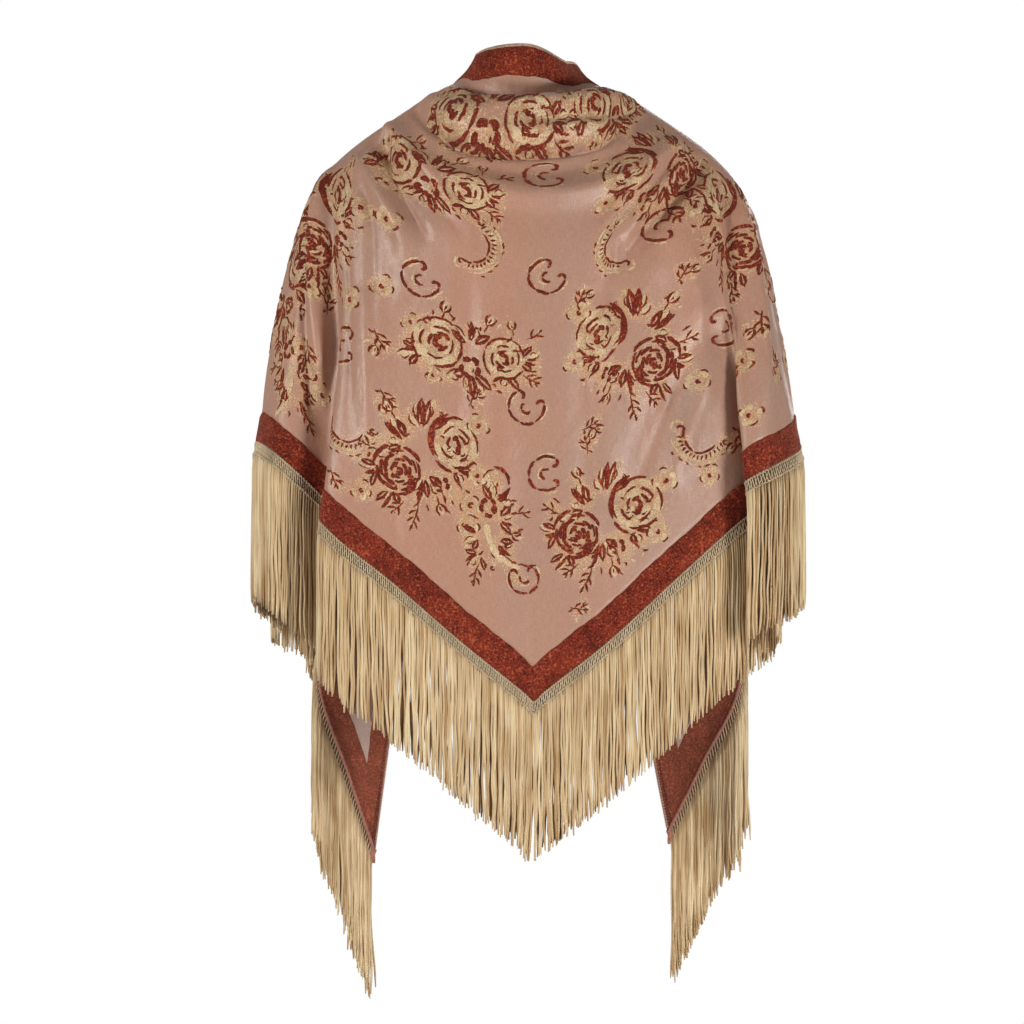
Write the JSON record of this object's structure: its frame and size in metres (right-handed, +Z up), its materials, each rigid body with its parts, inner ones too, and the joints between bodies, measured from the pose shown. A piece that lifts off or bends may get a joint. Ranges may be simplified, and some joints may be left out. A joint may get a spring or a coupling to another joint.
{
  "type": "triangle shawl",
  "caption": "Worn triangle shawl of burnt-out velvet on satin with a velvet border, a point at the back, two tails in front and a long fringe with a netted heading on the two short edges.",
  "frame": {"origin": "the middle of the line across the tops of the wearer's shoulders, where the worn shawl is held", "axes": "+Z is up, -Y is behind the wearer, where the point hangs, and +X is towards the wearer's right"},
  "size_m": [0.5492, 0.2874, 0.9721],
  "materials": {
    "satin": "dusty pink satin with a soft sheen, duller on the wrong side",
    "velvet": "rust velvet pile with a bright rim where it turns away",
    "fringe": "cream chainette yarn with a slight gloss"
  },
  "bodies": {
    "root": {"satin_panel": "satin", "border_neck": "velvet", "border_left": "velvet", "border_right": "velvet", "fringe_back_left": "fringe", "fringe_back_right": "fringe", "fringe_arm_left": "fringe", "fringe_arm_right": "fringe", "fringe_tail_left": "fringe", "fringe_tail_right": "fringe"}
  },
  "joints": []
}
